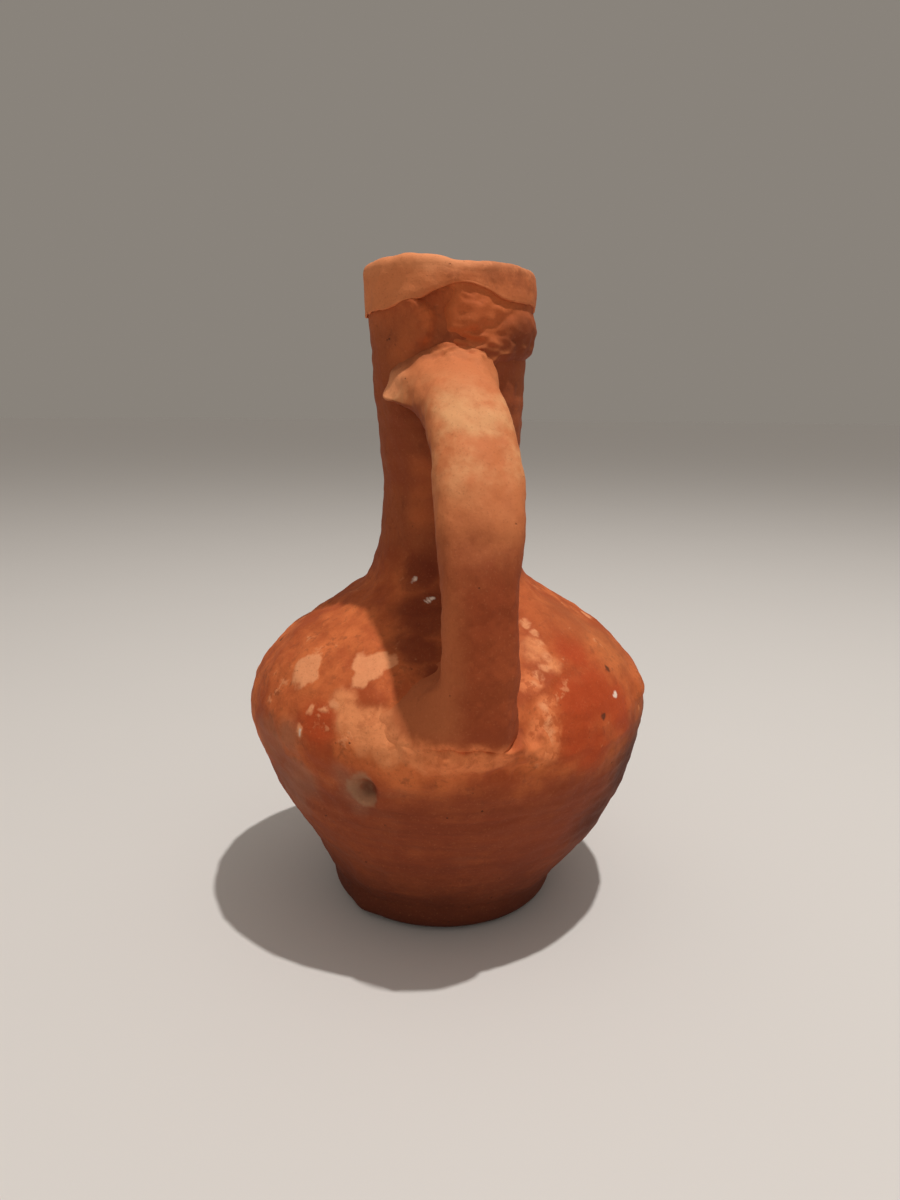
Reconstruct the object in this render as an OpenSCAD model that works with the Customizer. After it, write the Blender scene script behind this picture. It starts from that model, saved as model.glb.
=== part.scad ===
// Small earthenware jug: thrown sections, a folded collar at the lip and one strap handle.
// Millimetres. The jug stands on z = 0, its axis is the Z axis and its handle points along +X.
// The wall is four revolved sections that meet on tongue-and-groove seats. The outside of every section
// follows a Bezier curve, and its inside is a second curve between the inner ends of its two seats.

/* [Foot] */
// Radius of the flat underside
base_r = 18; // [15:0.5:22]
// Rounding of the lower edge of the foot
base_edge_r = 4; // [2:0.5:5]
// Thickness of the floor
floor_t = 6; // [4:0.5:7.5]
// Radius of the flat part of the floor, inside
floor_r = 9; // [5:0.5:13]
// Height of the waist, where the foot meets the belly
waist_z = 11; // [9:0.5:14]
// Outside radius of the waist
waist_r = 25.4; // [24:0.1:29]
// Outward run of the wall at the waist for each unit of rise
waist_slope = 0.86; // [0.5:0.02:1]
// Thickness of the wall at the waist
waist_wall = 5.5; // [4:0.1:6]

/* [Belly and shoulder] */
// Outside radius at the widest line
belly_r = 38.3; // [32:0.1:46]
// Height of the belly, from the waist to the widest line
belly_h = 29; // [24:0.5:36]
// Length of the straight run of the belly wall above the waist
belly_low_pull = 12; // [8:0.5:16]
// Roundness of the belly just under the widest line
belly_high_pull = 3.8; // [1.5:0.1:6]
// Thickness of the wall at the widest line
belly_wall = 4.6; // [3.6:0.1:5.5]
// Height of the shoulder, from the widest line to the spring of the neck
shoulder_h = 23.6; // [20:0.1:29]
// Roundness of the shoulder just over the widest line
shoulder_low_pull = 11.5; // [8:0.1:14]
// Length of the straight run of the shoulder under the neck
shoulder_high_pull = 8.6; // [5:0.1:11]
// Inward run of the shoulder at the neck for each unit of rise
shoulder_slope = 1.28; // [1:0.02:1.6]
// Roundness of the inside of a section, as a share of the distance between its seats
lining_pull = 0.28; // [0.2:0.01:0.35]

/* [Neck] */
// Outside radius where the neck springs from the shoulder
spring_r = 16.4; // [15:0.1:20]
// Thickness of the wall at the spring
spring_wall = 4.4; // [3.6:0.1:5.5]
// Length of the bend at the foot of the neck
neck_low_pull = 1; // [0.5:0.1:3]
// Outside radius of the narrowest part of the neck
throat_r = 12.6; // [11:0.1:15]
// Height of the narrowest part of the neck over the spring
throat_rise = 16.4; // [12:0.1:22]
// Roundness of the neck on both sides of its narrowest part
throat_pull = 11; // [6:0.5:14]
// Thickness of the wall at the narrowest part
throat_wall = 3.8; // [3:0.1:4.5]
// Outside radius of the neck under the collar
neck_top_r = 15.1; // [13.5:0.1:17]
// Length of the straight run of the neck under the collar
neck_top_pull = 12; // [6:0.5:16]
// Thickness of the wall under the collar
neck_top_wall = 3.4; // [2.8:0.1:4]

/* [Collar] */
// Height of the lip
jug_h = 120; // [110:0.5:150]
// Height of the collar over the top of the neck
collar_rise = 3; // [2.5:0.1:5]
// Thickness of the collar over the outside of the neck
collar_t = 0.6; // [0.5:0.1:1.6]
// How far the collar hangs down over the neck
collar_drop = 4.2; // [3.5:0.1:6]
// How far the lower edge of the collar lifts over the handle
collar_lift = 3.4; // [0:0.1:3.6]
// Bearing of the place where that edge lifts most, from the handle
collar_lift_at = -1; // [-180:1:180]
// Half the angle over which that edge lifts
collar_lift_span = 26; // [20:1:60]
// How far the lip rises at its highest place
lip_rise = 0.9; // [0:0.1:1.5]
// Bearing of the lip's highest place, from the handle
lip_rise_at = -32; // [-180:1:180]
// Half the angle over which the lip rises
lip_rise_span = 42; // [20:1:60]

/* [Handle] */
// Depth of the middle of the handle's upper end below the lip
handle_top_depth = 18.5; // [15:0.5:24]
// Slope at which the handle leaves the neck, below level
handle_drop = 30; // [10:1:45]
// How far the handle's middle line reaches past the widest line of the belly
handle_out = 0.3; // [-1:0.1:8]
// Height over the spring of the neck at which the handle reaches farthest
handle_far_rise = 3.4; // [1:0.1:8]
// Height of the middle of the handle's lower end over the widest line
handle_foot_rise = 7; // [5:0.5:10]
// Slope at which the handle runs into the shoulder, below level
handle_foot_drop = 62; // [45:1:75]
// Lengths of the handle's bends: at the neck, above and below its farthest place, and at its foot
handle_pull = [13, 14, 9, 5]; // [5:0.5:18]
// Sideways shift of the upper and the lower end from the handle's plane
handle_skew = [-1.6, -0.5]; // [-3:0.1:3]
// Width of the strap at its upper end, farthest place and lower end
handle_w = [14.4, 13.8, 12.6]; // [9:0.1:18]
// Thickness of the strap at the same three places
handle_t = [10.4, 9.2, 9.8]; // [6:0.1:12]
// Squareness of the strap's section, where 2 is an ellipse
handle_square = 2.4; // [2:0.1:4]

/* [Luting wads] */
// Share of the handle's middle line, of two, that each wad covers at the upper and lower end
wad_reach = [0.2, 0.38]; // [0.1:0.02:0.5]
// Angle that the upper wad spreads round the neck, to its left and right
upper_spread = [56, 74]; // [30:1:80]
// Distance that the upper wad spreads below the handle's end
upper_below = 8; // [5:0.1:9]
// Clear neck between the top of the upper wad and the collar
upper_clear = 2.5; // [1.5:0.1:6]
// How far the right side of the upper wad lies above its left side
upper_tilt = 5; // [0:0.1:6]
// Thumb's hollow in the upper wad: bearing, depth below the lip, half width in degrees and half height
thumb_place = [-17, 9, 10, 3.5]; // [-60:0.5:60]
// Depth of the thumb's hollow
thumb_depth = 1; // [0:0.1:1.5]
// Lobe pressed on beside the handle: bearing, depth below the lip, half width in degrees and half height
lobe_place = [48, 12.5, 16, 4.5]; // [-60:0.5:60]
// Height of the lobe over the rest of the wad
lobe_lift = 0.9; // [0:0.1:1.5]
// Angle that the lower wad spreads round the shoulder, to its left and right
lower_spread = [21, 24]; // [15:1:35]
// Distance in height that the lower wad spreads below the handle's end
lower_below = 8.5; // [6:0.1:11]
// Distance in height that the lower wad spreads above the handle's end
lower_above = 8; // [6:0.1:11]
// Thickness of the feathered edge of a wad
wad_edge = 0.5; // [0.3:0.1:1]
// Share of the way to its edge at which a wad has bent down to the wall
wad_bend = 0.3; // [0.1:0.05:0.6]
// Hollowness of the upper and the lower wad, where 1 falls evenly to the edge
wad_hollow = [2, 1.6]; // [1:0.1:3]

/* [Fits] */
// Slip left between a luted piece and the curved wall
lute_gap = 0.1; // [0.05:0.05:0.3]
// Height of the tongue on each seat between two thrown sections
tongue_h = 1.2; // [0.5:0.1:2]
// Width of the tongue at its root
tongue_w = 1.8; // [1:0.1:2.4]

/* [Hidden] */
$fn = 96;

// Counts of steps along an outline, round a corner, round the jug, round the strap and along the strap
curve_steps = 14;
corner_steps = 6;
round_steps = 72;
strap_sides = 40;
strap_steps = 30;
wad_steps = 12;
wad_back_steps = 7;

up = [0, 1];
// A point of the lip's or collar edge's rounding, as shares of its width and height
edge_arc = [for (i = [0 : corner_steps]) [cos(180 * i / corner_steps), sin(180 * i / corner_steps)]];

function unit(v) = v / norm(v);
function mix(a, b, t) = a + (b - a) * t;
function reversed(list) = [for (i = [len(list) - 1 : -1 : 0]) list[i]];
// Two lines as one, where the second starts at the end of the first
function joined(a, b) = concat(a, [for (i = [1 : len(b) - 1]) b[i]]);

// Cubic Bezier curves, each a list of four points
function bezier(p, t) =
    pow(1 - t, 3) * p[0] + 3 * t * pow(1 - t, 2) * p[1] + 3 * t * t * (1 - t) * p[2] + pow(t, 3) * p[3];
function heading(p, t) =
    unit(pow(1 - t, 2) * (p[1] - p[0]) + 2 * t * (1 - t) * (p[2] - p[1]) + t * t * (p[3] - p[2]));
function leftward(p, t) = let (d = heading(p, t)) [-d[1], d[0]];
function curve(from, from_dir, from_pull, to, to_dir, to_pull) =
    [from, from + unit(from_dir) * from_pull, to - unit(to_dir) * to_pull, to];

// Named places on the outside of the wall, as [radius, height], and the curves between them
waist = [waist_r, waist_z];
widest = [belly_r, waist_z + belly_h];
spring = [spring_r, widest[1] + shoulder_h];
throat = [throat_r, spring[1] + throat_rise];
neck_end = [neck_top_r, jug_h - collar_rise];
foot_edge = [base_r + base_edge_r, base_edge_r];
waist_dir = [waist_slope, 1];
shoulder_dir = [-shoulder_slope, 1];
foot_pull = norm(waist - foot_edge) / 3;
foot_curve = curve(foot_edge, up, foot_pull, waist, waist_dir, foot_pull);
belly_curve = curve(waist, waist_dir, belly_low_pull, widest, up, belly_high_pull);
shoulder_curve = curve(widest, up, shoulder_low_pull, spring, shoulder_dir, shoulder_high_pull);
neck_low_curve = curve(spring, shoulder_dir, neck_low_pull, throat, up, throat_pull);
neck_high_curve = curve(throat, up, throat_pull, neck_end, up, neck_top_pull);

function outer_line(p) = [for (i = [0 : curve_steps]) bezier(p, i / curve_steps)];
function inner_line(p, wall_from, wall_to) =
    let (
        from = p[0] + leftward(p, 0) * wall_from,
        to = p[3] + leftward(p, 1) * wall_to,
        pull = norm(to - from) * lining_pull)
    outer_line(curve(from, heading(p, 0), pull, to, heading(p, 1), pull));

// The three points of a seat's tongue, from the outside of the wall to its inside
function tongue(p, t, wall) =
    let (at = bezier(p, t), inward = leftward(p, t))
    [at + inward * (wall - tongue_w) / 2,
     at + inward * wall / 2 + heading(p, t) * tongue_h,
     at + inward * (wall + tongue_w) / 2];

// Outside radius of the wall at a height, on the same straight steps as the revolved sections
wall_table = [for (p = [belly_curve, shoulder_curve, neck_low_curve, neck_high_curve])
    each [for (q = outer_line(p)) [q[1], q[0]]]];
function wall_r(z) = lookup(z, wall_table);
function on_wall(bearing, z, off) =
    let (r = wall_r(z) + off) [r * cos(bearing), r * sin(bearing), z];

// A smooth hump of height 1 round a bearing
function hump(bearing, at, span) =
    let (d = abs((bearing - at + 540) % 360 - 180)) d < 2 * span ? pow(cos(45 * d / span), 2) : 0;

// A solid skin over rings of points, closed at both ends by fans to a point
module skin(rings, start, end) {
    n = len(rings[0]);
    m = len(rings);
    last = m * n;
    polyhedron(
        points = concat([for (ring = rings) each ring], [start, end]),
        faces = concat(
            [for (i = [0 : n - 1]) [last, i, (i + 1) % n]],
            [for (j = [0 : m - 2], i = [0 : n - 1])
                let (a = j * n + i, b = j * n + (i + 1) % n) each [[a, a + n, b + n], [a, b + n, b]]],
            [for (i = [0 : n - 1]) [last + 1, (m - 1) * n + (i + 1) % n, (m - 1) * n + i]]));
}

// A closed ring of sections, where the last section joins the first
module closed_skin(rings) {
    n = len(rings[0]);
    m = len(rings);
    polyhedron(
        points = [for (ring = rings) each ring],
        faces = [for (j = [0 : m - 1], i = [0 : n - 1]) let (k = (i + 1) % n, l = (j + 1) % m)
            each [[j * n + i, l * n + i, l * n + k], [j * n + i, l * n + k, j * n + k]]]);
}

// Height of the collar's lower edge at a bearing
function collar_low(a) =
    neck_end[1] - collar_drop + collar_lift * hump(a, collar_lift_at, collar_lift_span);

// The handle's middle line runs from 0 at the neck, through 1 at its farthest place, to 2 at the shoulder
handle_top_z = jug_h - handle_top_depth;
handle_foot_z = widest[1] + handle_foot_rise;
handle_top = [wall_r(handle_top_z), handle_top_z];
handle_far = [belly_r + handle_out, spring[1] + handle_far_rise];
handle_foot = [wall_r(handle_foot_z), handle_foot_z];
handle_upper_curve = curve(handle_top, [cos(handle_drop), -sin(handle_drop)], handle_pull[0],
    handle_far, -up, handle_pull[1]);
handle_lower_curve = curve(handle_far, -up, handle_pull[2],
    handle_foot, [-cos(handle_foot_drop), -sin(handle_foot_drop)], handle_pull[3]);
function handle_curve(s) = s < 1 ? handle_upper_curve : handle_lower_curve;
function handle_part(s) = s < 1 ? s : s - 1;
function along_handle(sizes, s) = s < 1 ? mix(sizes[0], sizes[1], s) : mix(sizes[1], sizes[2], s - 1);

// A rounded strap section: x to the right, y to the outside
function rounded(v) = sign(v) * pow(abs(v), 2 / handle_square);
function strap_angle(i) = 360 * i / strap_sides;
function handle_point(s, x, y) =
    let (p = handle_curve(s), t = handle_part(s), at = bezier(p, t) + leftward(p, t) * y)
    [at[0], x + handle_skew[0] * pow(max(1 - s, 0), 2) + handle_skew[1] * pow(max(s - 1, 0), 2), at[1]];
function strap_ring(s) =
    let (half_w = along_handle(handle_w, s) / 2, half_t = along_handle(handle_t, s) / 2)
    [for (i = [0 : strap_sides - 1]) let (a = strap_angle(i))
        handle_point(s, half_w * rounded(cos(a)), half_t * rounded(sin(a)))];
upper_height = [
    function (bearing) -upper_below,
    function (bearing) collar_low(bearing) - collar_t / 2 - upper_clear - handle_top_z];
lower_height = [function (bearing) lower_above, function (bearing) -lower_below];
strap_from = wad_reach[0];
strap_to = 2 - wad_reach[1];

// A finger mark's share of its full depth at a place on the wall
function finger_mark(place, mark) =
    exp(-pow((place[0] - mark[0]) / mark[2], 2) - pow((place[1] - jug_h + mark[1]) / mark[3], 2));
upper_marks = function (place) lobe_lift * finger_mark(place, lobe_place)
    - thumb_depth * finger_mark(place, thumb_place);
no_marks = function (place) 0;

// Rings of a wad from the strap's end at s down to its feathered edge, then over the wall to its middle.
// A wad's heights are those of its edge at the inside and at the outside of the strap, at each bearing.
function wad_place(a, centre, spread, height, tilt) =
    let (
        bearing = centre[0] + cos(a) * (cos(a) > 0 ? spread[1] : spread[0]),
        reach = sin(a) > 0 ? height[1](bearing) : height[0](bearing))
    [bearing, centre[1] + abs(sin(a)) * reach + tilt / 2 * cos(a)];
function wad_front(s, t, centre, spread, height, tilt, hollow, marks) =
    let (ring = strap_ring(s))
    [for (i = [0 : strap_sides - 1])
        let (
            q = ring[i],
            from = [atan2(q[1], q[0]), q[2]],
            off = norm([q[0], q[1]]) - wall_r(q[2]),
            to = wad_place(strap_angle(i), centre, spread, height, tilt),
            place = pow(1 - t, 2) * from + 2 * t * (1 - t) * mix(from, to, wad_bend) + t * t * to,
            least = wad_edge + lute_gap,
            pressed = marks(place) * sin(180 * t))
        on_wall(place[0], place[1], max(least, mix(least, off, pow(1 - t, hollow)) + pressed))];
function wad_back(t, centre, spread, height, tilt) =
    [for (i = [0 : strap_sides - 1])
        let (place = mix(wad_place(strap_angle(i), centre, spread, height, tilt), centre, t))
        on_wall(place[0], place[1], lute_gap)];
module wad(s, centre, spread, height, tilt, hollow, marks) {
    skin(
        concat(
            [strap_ring(s)],
            [for (j = [1 : wad_steps])
                wad_front(s, j / wad_steps, centre, spread, height, tilt, hollow, marks)],
            [for (j = [0 : wad_back_steps - 1])
                wad_back(j / wad_back_steps, centre, spread, height, tilt)]),
        handle_point(s, 0, 0),
        on_wall(centre[0], centre[1], lute_gap));
}

// A revolved wall section between two outlines, listed from the bottom up
module thrown(outside, top_seat, inside, bottom_seat) {
    rotate_extrude()
        polygon(concat(outside, top_seat, reversed(inside), reversed(bottom_seat)));
}

module foot() {
    seat = waist + leftward(belly_curve, 0) * waist_wall;
    floor_edge = [floor_r, floor_t];
    bowl = curve(floor_edge, [1, 0], (seat[0] - floor_r) / 2, seat, waist_dir, (seat[1] - floor_t) / 2);
    color("saddlebrown")
        thrown(
            concat(
                [[0, 0]],
                joined(
                    [for (i = [0 : corner_steps]) let (a = 90 * i / corner_steps)
                        [base_r + base_edge_r * sin(a), base_edge_r * (1 - cos(a))]],
                    outer_line(foot_curve))),
            tongue(belly_curve, 0, waist_wall),
            concat([[0, floor_t]], outer_line(bowl)),
            []);
}

module belly() {
    color("sienna")
        thrown(
            outer_line(belly_curve),
            tongue(belly_curve, 1, belly_wall),
            inner_line(belly_curve, waist_wall, belly_wall),
            tongue(belly_curve, 0, waist_wall));
}

module shoulder() {
    color("chocolate")
        thrown(
            outer_line(shoulder_curve),
            tongue(shoulder_curve, 1, spring_wall),
            inner_line(shoulder_curve, belly_wall, spring_wall),
            tongue(belly_curve, 1, belly_wall));
}

module neck() {
    color("peru")
        thrown(
            joined(outer_line(neck_low_curve), outer_line(neck_high_curve)),
            [],
            joined(
                inner_line(neck_low_curve, spring_wall, throat_wall),
                inner_line(neck_high_curve, throat_wall, neck_top_wall)),
            tongue(shoulder_curve, 1, spring_wall));
}

module rim_collar() {
    seat_z = neck_end[1];
    // A section's corners stay outside the neck where the flat steps round the jug cut across it
    clear = 1 / cos(180 / round_steps);
    lip_half = (neck_top_wall + collar_t) / 2;
    lip_mid = neck_top_r + collar_t - lip_half;
    color("sandybrown")
        closed_skin([for (j = [0 : round_steps - 1])
            let (
                a = 360 * j / round_steps,
                top = jug_h + lip_rise * hump(a, lip_rise_at, lip_rise_span),
                low = collar_low(a),
                hem_r = wall_r(low) + lute_gap + collar_t / 2,
                hang = [for (z = [seat_z, (seat_z + low) / 2, low]) [wall_r(z) * clear + lute_gap, z]],
                section = concat(
                    [[neck_top_r - neck_top_wall, seat_z]],
                    [for (q = reversed(edge_arc)) [lip_mid + lip_half * q[0], top + lip_half * (q[1] - 1)]],
                    [for (q = edge_arc) [hem_r + collar_t / 2 * q[0], low - collar_t / 2 * q[1]]],
                    reversed(hang)))
            [for (q = section) [q[0] * cos(a), q[0] * sin(a), q[1]]]]);
}

module handle_strap() {
    color("peru")
        skin(
            [for (j = [0 : strap_steps]) strap_ring(mix(strap_from, strap_to, j / strap_steps))],
            handle_point(strap_from, 0, 0), handle_point(strap_to, 0, 0));
}

module upper_wad() {
    color("chocolate")
        wad(strap_from, [0, handle_top_z], upper_spread, upper_height, upper_tilt,
            wad_hollow[0], upper_marks);
}

module lower_wad() {
    color("sienna")
        wad(strap_to, [0, handle_foot_z], lower_spread, lower_height, 0,
            wad_hollow[1], no_marks);
}

foot();
belly();
shoulder();
neck();
rim_collar();
handle_strap();
upper_wad();
lower_wad();
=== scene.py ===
import math
import bpy
import numpy as np
from mathutils import Matrix, Vector


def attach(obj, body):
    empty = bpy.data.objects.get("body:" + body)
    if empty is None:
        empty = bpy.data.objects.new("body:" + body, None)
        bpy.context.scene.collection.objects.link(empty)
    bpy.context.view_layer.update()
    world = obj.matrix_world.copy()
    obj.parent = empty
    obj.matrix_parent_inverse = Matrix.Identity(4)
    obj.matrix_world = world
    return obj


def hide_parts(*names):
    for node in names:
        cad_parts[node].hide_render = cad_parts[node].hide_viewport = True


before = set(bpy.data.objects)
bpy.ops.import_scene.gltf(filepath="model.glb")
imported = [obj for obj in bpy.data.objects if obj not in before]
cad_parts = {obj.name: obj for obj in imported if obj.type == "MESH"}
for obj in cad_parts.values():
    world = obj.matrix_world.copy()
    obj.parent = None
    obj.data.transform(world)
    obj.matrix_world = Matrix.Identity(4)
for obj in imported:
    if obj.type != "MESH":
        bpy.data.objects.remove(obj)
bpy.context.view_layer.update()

mm = 0.001
print("stage: frame loaded,", len(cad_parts), "nodes")


def placed(name, data):
    thing = bpy.data.objects.new(name, data)
    bpy.context.scene.collection.objects.link(thing)
    return thing


# camera, in mm and degrees, about the jug's axis
photoView = {
    "distance": 172.5,
    "height": 95.6,
    "turn": 7.4,      # to the left of the handle's plane
    "pitch": 11.99,
    "roll": 0.404,
    "yaw": 0.143,
    "lens": 27,
    "sensor": 36,     # on the long side
}


def makeCamera(view):
    turn, pitch, roll, yaw = (math.radians(view[k]) for k in ("turn", "pitch", "roll", "yaw"))
    front = Vector((math.cos(turn), -math.sin(turn), 0))
    right = Vector((math.sin(turn), math.cos(turn), 0))
    ahead = front * -math.cos(pitch) + Vector((0, 0, -math.sin(pitch)))
    ahead, right = (ahead * math.cos(yaw) + right * math.sin(yaw),
                    right * math.cos(yaw) - ahead * math.sin(yaw))
    up = right.cross(ahead)
    right, up = (right * math.cos(roll) + up * math.sin(roll),
                 up * math.cos(roll) - right * math.sin(roll))
    place = Matrix((right, up, -ahead)).transposed().to_4x4()
    place.translation = (front * view["distance"] + Vector((0, 0, view["height"]))) * mm
    data = bpy.data.cameras.new("photoCamera")
    data.lens, data.sensor_width, data.clip_start = view["lens"], view["sensor"], 0.01
    camera = placed("photoCamera", data)
    camera.matrix_world = place
    bpy.context.scene.camera = camera


makeCamera(photoView)
print("stage: camera set")


# curves and soft noise, all in mm
def unit(v):
    return np.asarray(v, float) / np.linalg.norm(v)


def bend(start, startWay, startPull, end, endWay, endPull):
    start, end = np.asarray(start, float), np.asarray(end, float)
    return np.array([start, start + unit(startWay) * startPull, end - unit(endWay) * endPull, end])


def along(curve, t):
    t = np.asarray(t, float)[..., None]
    return ((1 - t) ** 3 * curve[0] + 3 * t * (1 - t) ** 2 * curve[1]
            + 3 * t * t * (1 - t) * curve[2] + t ** 3 * curve[3])


def heading(curve, t):
    t = np.asarray(t, float)[..., None]
    way = ((1 - t) ** 2 * (curve[1] - curve[0]) + 2 * t * (1 - t) * (curve[2] - curve[1])
           + t * t * (curve[3] - curve[2]))
    return way / np.linalg.norm(way, axis=-1, keepdims=True)


def leftOf(way):
    return np.stack([-way[..., 1], way[..., 0]], axis=-1)


def mixed(a, b, t):
    return a + (b - a) * t


def eased(x, low, high):
    t = np.clip((np.asarray(x, float) - low) / (high - low), 0, 1)
    return t * t * (3 - 2 * t)


def lumps(points, size, seed, waves=16):
    rng = np.random.default_rng(seed)
    total = np.zeros(points.shape[:-1])
    for _ in range(waves):
        way = unit(rng.normal(size=3)) * (2 * np.pi / size * rng.uniform(0.6, 1.5))
        total += np.sin(points @ way + rng.uniform(0, 2 * np.pi))
    return total / math.sqrt(waves / 2)


def lumped(points, layers):
    # layers of height, size and seed
    return sum(height * lumps(points, size, seed) for height, size, seed in layers)


def throughKnots(x, knots):
    # a smooth line through (place, value, ...) knots
    knots = np.asarray(knots, float)
    at, values = knots[:, 0], knots[:, 1:]
    rise = np.gradient(values, at, axis=0)
    x = np.clip(np.asarray(x, float), at[0], at[-1])
    k = np.clip(np.searchsorted(at, x, side="right") - 1, 0, len(at) - 2)
    width = np.asarray(at[k + 1] - at[k])[..., None]
    t = np.asarray(x - at[k])[..., None] / width
    return ((2 * t ** 3 - 3 * t ** 2 + 1) * values[k] + (t ** 3 - 2 * t ** 2 + t) * rise[k] * width
            + (-2 * t ** 3 + 3 * t ** 2) * values[k + 1] + (t ** 3 - t ** 2) * rise[k + 1] * width)


def aroundKnots(degrees, knots):
    # the same line closed to a ring, its places in degrees
    knots = np.asarray(knots, float)
    turn = np.zeros_like(knots[:2])
    turn[:, 0] = 360
    ring = np.concatenate([knots[-2:] - turn, knots, knots[:2] + turn])
    return throughKnots((np.asarray(degrees, float) - knots[0, 0]) % 360 + knots[0, 0], ring)


# meshes from grids of points
def gridNormals(points, wrapRows, wrapCols):
    up, across = (np.roll(points, -1, k) - np.roll(points, 1, k) if wrap else np.gradient(points, axis=k)
                  for k, wrap in enumerate((wrapRows, wrapCols)))
    normal = np.cross(across, up)
    return normal / np.maximum(np.linalg.norm(normal, axis=-1, keepdims=True), 1e-12)


class ClayMesh:
    # gathers points, faces and the normals of the faces that show
    def __init__(self):
        self.points, self.normals, self.faces, self.smooth = [], [], [], []
        self.count = 0

    def addPoints(self, points, normals=None):
        points = np.asarray(points, float).reshape(-1, 3)
        first = self.count
        self.points.append(points)
        self.normals.append(np.zeros_like(points) if normals is None else np.reshape(normals, (-1, 3)))
        self.count += len(points)
        return np.arange(first, self.count)

    def addQuads(self, index, wrapRows, wrapCols, shown):
        rows, cols = index.shape
        for r in range(rows if wrapRows else rows - 1):
            low, high = index[r], index[(r + 1) % rows]
            n = cols if wrapCols else cols - 1
            right = (np.arange(n) + 1) % cols
            self.faces += np.stack([low[:n], low[right], high[right], high[:n]], 1).tolist()
            self.smooth += [shown(r) if callable(shown) else shown] * n

    def addFan(self, ring, hub, outward, shown=False):
        follow = np.roll(ring, -1)
        pairs = zip(ring, follow) if outward else zip(follow, ring)
        self.faces += [[int(a), int(b), int(hub)] for a, b in pairs]
        self.smooth += [shown] * len(ring)

    def build(self, name):
        points, normals = np.concatenate(self.points) * mm, np.concatenate(self.normals)
        mesh = bpy.data.meshes.new(name)
        mesh.from_pydata(points.tolist(), [], self.faces)
        mesh.polygons.foreach_set("use_smooth", np.ones(len(mesh.polygons), bool))
        sides = [len(face) for face in self.faces]
        corners = np.array([v for face in self.faces for v in face])
        flat = np.zeros((len(mesh.polygons), 3), np.float32)
        mesh.polygons.foreach_get("normal", flat.ravel())
        keep = np.repeat(np.array(self.smooth), sides) & (np.abs(normals[corners]).sum(1) > 0)
        found = np.where(keep[:, None], normals[corners], np.repeat(flat, sides, axis=0))
        mesh.normals_split_custom_set(found.astype(np.float32).tolist())
        return placed(name, mesh)


def settle(piece, node, material):
    piece.data.materials.append(material)
    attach(piece, "root")
    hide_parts(node)


# the thrown wall: four sections on one outline, radius and height, with steps outside and inside
footSizes = {"base": 18, "edge": 4, "floor": 6, "floorFlat": 9, "waist": (25.4, 11), "waistWay": (0.86, 1),
             "wall": 5.5, "hub": 0.6, "steps": (16, 16), "baseSteps": (40, 8), "edgeSteps": 10}
bellySizes = {"widest": (38.3, 40), "lowPull": 12, "highPull": 3.8, "wall": 4.6, "steps": (84, 30)}
shoulderSizes = {"spring": (16.4, 63.6), "springWay": (-1.28, 1), "lowPull": 11.5, "highPull": 8.6,
                 "wall": 4.4, "steps": (80, 30)}
neckSizes = {"throat": (12.6, 80), "end": (15.1, 117), "lowPull": 1, "throatPull": 11, "endPull": 12,
             "throatWall": 3.8, "wall": 3.4, "lowSteps": (32, 18), "steps": (84, 30)}
roundSteps = 448
liningPull = 0.28

footEdge = (footSizes["base"] + footSizes["edge"], footSizes["edge"])
footPull = np.linalg.norm(np.subtract(footSizes["waist"], footEdge)) / 3
footCurve = bend(footEdge, (0, 1), footPull, footSizes["waist"], footSizes["waistWay"], footPull)
bellyCurve = bend(footSizes["waist"], footSizes["waistWay"], bellySizes["lowPull"],
                  bellySizes["widest"], (0, 1), bellySizes["highPull"])
shoulderCurve = bend(bellySizes["widest"], (0, 1), shoulderSizes["lowPull"],
                     shoulderSizes["spring"], shoulderSizes["springWay"], shoulderSizes["highPull"])
neckLowCurve = bend(shoulderSizes["spring"], shoulderSizes["springWay"], neckSizes["lowPull"],
                    neckSizes["throat"], (0, 1), neckSizes["throatPull"])
neckHighCurve = bend(neckSizes["throat"], (0, 1), neckSizes["throatPull"],
                     neckSizes["end"], (0, 1), neckSizes["endPull"])


def outlineRows(curve, steps, side):
    # radius, height and the way out of the clay: side is 1 for the hollow's side, -1 for the other
    t = np.linspace(0, 1, steps + 1)
    return np.hstack([along(curve, t), side * leftOf(heading(curve, t))])


def outsideRows(curve, steps):
    return outlineRows(curve, steps, -1)


def insideRows(curve, wallFrom, wallTo, steps):
    ends = np.array([0.0, 1.0])
    way = heading(curve, ends)
    at = along(curve, ends) + leftOf(way) * np.array([[wallFrom], [wallTo]])
    pull = np.linalg.norm(at[1] - at[0]) * liningPull
    return outlineRows(bend(at[0], way[0], pull, at[1], way[1], pull), steps, 1)


def footOutside():
    disc = np.linspace(footSizes["hub"], footSizes["base"], footSizes["baseSteps"][0])
    turn = np.linspace(0, np.pi / 2, footSizes["edgeSteps"] + 1)[1:]
    flat = np.stack([disc, 0 * disc, 0 * disc, 0 * disc - 1], 1)
    corner = np.stack([footSizes["base"] + footSizes["edge"] * np.sin(turn),
                       footSizes["edge"] * (1 - np.cos(turn)), np.sin(turn), -np.cos(turn)], 1)
    return np.vstack([flat, corner, outsideRows(footCurve, footSizes["steps"][0])[1:]])


def footInside():
    seat = along(bellyCurve, 0.0) + leftOf(heading(bellyCurve, 0.0)) * footSizes["wall"]
    edge = np.array([footSizes["floorFlat"], footSizes["floor"]], float)
    bowl = bend(edge, (1, 0), (seat[0] - edge[0]) / 2, seat, footSizes["waistWay"], (seat[1] - edge[1]) / 2)
    disc = np.linspace(footSizes["hub"], edge[0], footSizes["baseSteps"][1])[:-1]
    flat = np.stack([disc, 0 * disc + edge[1], 0 * disc, 0 * disc + 1], 1)
    return np.vstack([flat, outlineRows(bowl, footSizes["steps"][1], 1)])


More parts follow.
